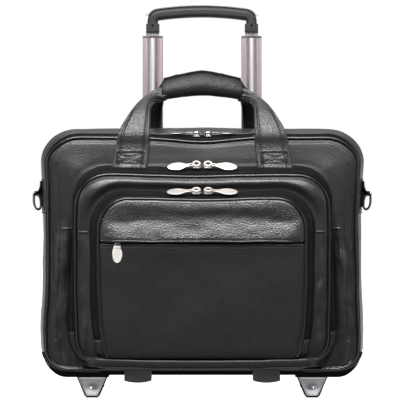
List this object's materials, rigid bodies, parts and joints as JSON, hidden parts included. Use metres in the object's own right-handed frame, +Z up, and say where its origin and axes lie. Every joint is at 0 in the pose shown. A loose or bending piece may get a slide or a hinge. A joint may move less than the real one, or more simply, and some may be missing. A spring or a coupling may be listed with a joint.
{
  "type": "rolling laptop case",
  "caption": "Soft leather laptop case on wheels with a telescopic pull handle, carry handles, front zip pockets and D-rings for a shoulder strap.",
  "frame": {"origin": "on the floor, under the middle of the case's bounding box", "axes": "+Z up from the floor, +X to the right as the pockets are seen, -Y towards the front pockets"},
  "size_m": [0.4664, 0.2101, 0.552],
  "materials": {
    "leather": "pebbled, satin",
    "smooth_leather": "fine grain, matte",
    "piping_leather": "rolled, satin",
    "zip_tape": "woven, matte",
    "lining": "woven, matte",
    "base_plastic": "matte",
    "rubber_black": "matte",
    "bright_metal": "polished",
    "tube_aluminium": "satin anodised",
    "collar_plastic": "matte",
    "grip_rubber": "soft matte",
    "silver_plastic": "silver, gloss",
    "steel": "brushed",
    "hub_plastic": "satin",
    "tyre": "matte"
  },
  "bodies": {
    "case": {"case_shell": "leather", "base_tray": "base_plastic", "back_cover": "leather", "sleeve_tubes": "steel", "tube_clamps": "base_plastic", "top_bezel": "base_plastic", "wheel_housings": "base_plastic", "stand_feet": "base_plastic", "foot_covers": "bright_metal", "axles": "steel", "ring_tabs": "leather", "main_zip_rear": "zip_tape", "laptop_sleeve": "lining", "rear_handle_anchors": "leather"},
    "front_panel": {"front_panel": "leather", "main_zip_front": "zip_tape", "main_piping": "piping_leather", "pocket1_back": "zip_tape", "organizer": "lining", "bumpers": "rubber_black", "front_handle_anchors": "leather"},
    "front_handle": {"front_handle_straps": "leather", "front_handle_grip": "leather"},
    "rear_handle": {"rear_handle": "leather"},
    "pocket1_flap": {"pocket1_panel": "leather", "pocket1_zip_front": "zip_tape", "pocket1_piping": "piping_leather", "bottom_band": "leather", "pocket2_back": "zip_tape"},
    "pocket2_flap": {"pocket2_panel": "leather", "slip_panel": "smooth_leather", "pocket2_piping": "piping_leather", "pocket2_zip_front": "zip_tape"},
    "handle_stage_1": {"mid_tubes": "tube_aluminium", "mid_collars": "collar_plastic"},
    "handle_stage_2": {"inner_tubes": "tube_aluminium", "grip_body": "grip_rubber", "grip_cover": "silver_plastic"},
    "release": {"release_button": "silver_plastic", "push_rods": "steel"},
    "wheel_left": {"tyre_left": "tyre", "hub_left": "hub_plastic"},
    "wheel_right": {"tyre_right": "tyre", "hub_right": "hub_plastic"},
    "ring_left": {"d_ring_left": "bright_metal"},
    "ring_right": {"d_ring_right": "bright_metal"},
    "main_slider_left": {"main_slider_left": "bright_metal"},
    "main_pull_left": {"main_pull_left": "bright_metal"},
    "main_slider_right": {"main_slider_right": "bright_metal"},
    "main_pull_right": {"main_pull_right": "bright_metal"},
    "pocket1_slider_left": {"pocket1_slider_left": "bright_metal"},
    "pocket1_pull_left": {"pocket1_pull_left": "bright_metal"},
    "pocket1_slider_right": {"pocket1_slider_right": "bright_metal"},
    "pocket1_pull_right": {"pocket1_pull_right": "bright_metal"},
    "pocket2_slider_left": {"pocket2_slider_left": "bright_metal"},
    "pocket2_pull_left": {"pocket2_pull_left": "bright_metal"},
    "pocket2_slider_right": {"pocket2_slider_right": "bright_metal"},
    "pocket2_pull_right": {"pocket2_pull_right": "bright_metal"},
    "slip_slider": {"slip_slider": "bright_metal"},
    "slip_pull": {"slip_pull": "bright_metal"}
  },
  "joints": [
    {"name": "handle_stage_1_slide", "type": "slide", "parent": "case", "child": "handle_stage_1", "axis": [0, 0, 1], "range_m": [-0.12, 0.16]},
    {"name": "handle_stage_2_slide", "type": "slide", "parent": "handle_stage_1", "child": "handle_stage_2", "axis": [0, 0, 1], "range_m": [0, 0.285]},
    {"name": "release_press", "type": "slide", "parent": "handle_stage_2", "child": "release", "axis": [0, 0, 1], "range_m": [-0.003, 0], "stiffness_N_per_m": 500, "springref_m": 0.004},
    {"name": "wheel_left_spin", "type": "hinge", "parent": "case", "child": "wheel_left", "pos_m": [-0.1505, 0.075, 0.03], "axis": [1, 0, 0], "continuous": true},
    {"name": "wheel_right_spin", "type": "hinge", "parent": "case", "child": "wheel_right", "pos_m": [0.1505, 0.075, 0.03], "axis": [1, 0, 0], "continuous": true},
    {"name": "front_panel_hinge", "type": "hinge", "parent": "case", "child": "front_panel", "pos_m": [0, -0.026, 0.031], "axis": [1, 0, 0], "range_deg": [0, 22]},
    {"name": "pocket1_hinge", "type": "hinge", "parent": "front_panel", "child": "pocket1_flap", "pos_m": [0, -0.057, 0.0476], "axis": [1, 0, 0], "range_deg": [0, 30]},
    {"name": "pocket2_hinge", "type": "hinge", "parent": "pocket1_flap", "child": "pocket2_flap", "pos_m": [0, -0.1, 0.06], "axis": [1, 0, 0], "range_deg": [0, 25]},
    {"name": "front_handle_hinge", "type": "hinge", "parent": "front_panel", "child": "front_handle", "pos_m": [0, -0.048, 0.351], "axis": [1, 0, 0], "range_deg": [0, 110]},
    {"name": "rear_handle_hinge", "type": "hinge", "parent": "case", "child": "rear_handle", "pos_m": [0, 0.05, 0.3735], "axis": [1, 0, 0], "range_deg": [-12, 0]},
    {"name": "ring_left_swing", "type": "hinge", "parent": "case", "child": "ring_left", "pos_m": [-0.227, 0.003, 0.279], "axis": [0.3746, 0.9272, 0], "range_deg": [0, 150]},
    {"name": "ring_right_swing", "type": "hinge", "parent": "case", "child": "ring_right", "pos_m": [0.227, 0.003, 0.279], "axis": [-0.3746, 0.9272, 0], "range_deg": [-150, 0]},
    {"name": "main_slider_left_slide", "type": "slide", "parent": "case", "child": "main_slider_left", "axis": [-1, 0, 0], "range_m": [0, 0.07]},
    {"name": "main_pull_left_hinge", "type": "hinge", "parent": "main_slider_left", "child": "main_pull_left", "pos_m": [-0.008, -0.02713, 0.36508], "axis": [0, 0.9762, 0.2169], "range_deg": [0, 120]},
    {"name": "main_slider_right_slide", "type": "slide", "parent": "case", "child": "main_slider_right", "axis": [1, 0, 0], "range_m": [0, 0.07]},
    {"name": "main_pull_right_hinge", "type": "hinge", "parent": "main_slider_right", "child": "main_pull_right", "pos_m": [0.008, -0.02713, 0.36508], "axis": [0, 0.9762, 0.2169], "range_deg": [-120, 0]},
    {"name": "pocket1_slider_left_slide", "type": "slide", "parent": "front_panel", "child": "pocket1_slider_left", "axis": [-1, 0, 0], "range_m": [0, 0.06]},
    {"name": "pocket1_pull_left_hinge", "type": "hinge", "parent": "pocket1_slider_left", "child": "pocket1_pull_left", "pos_m": [-0.008, -0.05915, 0.31683], "axis": [0, 0.9104, 0.4138], "range_deg": [0, 120]},
    {"name": "pocket1_slider_right_slide", "type": "slide", "parent": "front_panel", "child": "pocket1_slider_right", "axis": [1, 0, 0], "range_m": [0, 0.06]},
    {"name": "pocket1_pull_right_hinge", "type": "hinge", "parent": "pocket1_slider_right", "child": "pocket1_pull_right", "pos_m": [0.008, -0.05915, 0.31683], "axis": [0, 0.9104, 0.4138], "range_deg": [-120, 0]},
    {"name": "pocket2_slider_left_slide", "type": "slide", "parent": "pocket1_flap", "child": "pocket2_slider_left", "axis": [-1, 0, 0], "range_m": [0, 0.045]},
    {"name": "pocket2_pull_left_hinge", "type": "hinge", "parent": "pocket2_slider_left", "child": "pocket2_pull_left", "pos_m": [-0.008, -0.0909, 0.28261], "axis": [0, 0.8866, 0.4626], "range_deg": [0, 120]},
    {"name": "pocket2_slider_right_slide", "type": "slide", "parent": "pocket1_flap", "child": "pocket2_slider_right", "axis": [1, 0, 0], "range_m": [0, 0.045]},
    {"name": "pocket2_pull_right_hinge", "type": "hinge", "parent": "pocket2_slider_right", "child": "pocket2_pull_right", "pos_m": [0.008, -0.0909, 0.28261], "axis": [0, 0.8866, 0.4626], "range_deg": [-120, 0]},
    {"name": "slip_slider_slide", "type": "slide", "parent": "pocket2_flap", "child": "slip_slider", "axis": [1, 0, 0], "range_m": [0, 0.22]},
    {"name": "slip_pull_hinge", "type": "hinge", "parent": "slip_slider", "child": "slip_pull", "pos_m": [-0.112, -0.1034, 0.2152], "axis": [1, 0, 0], "range_deg": [-150, 0]}
  ]
}
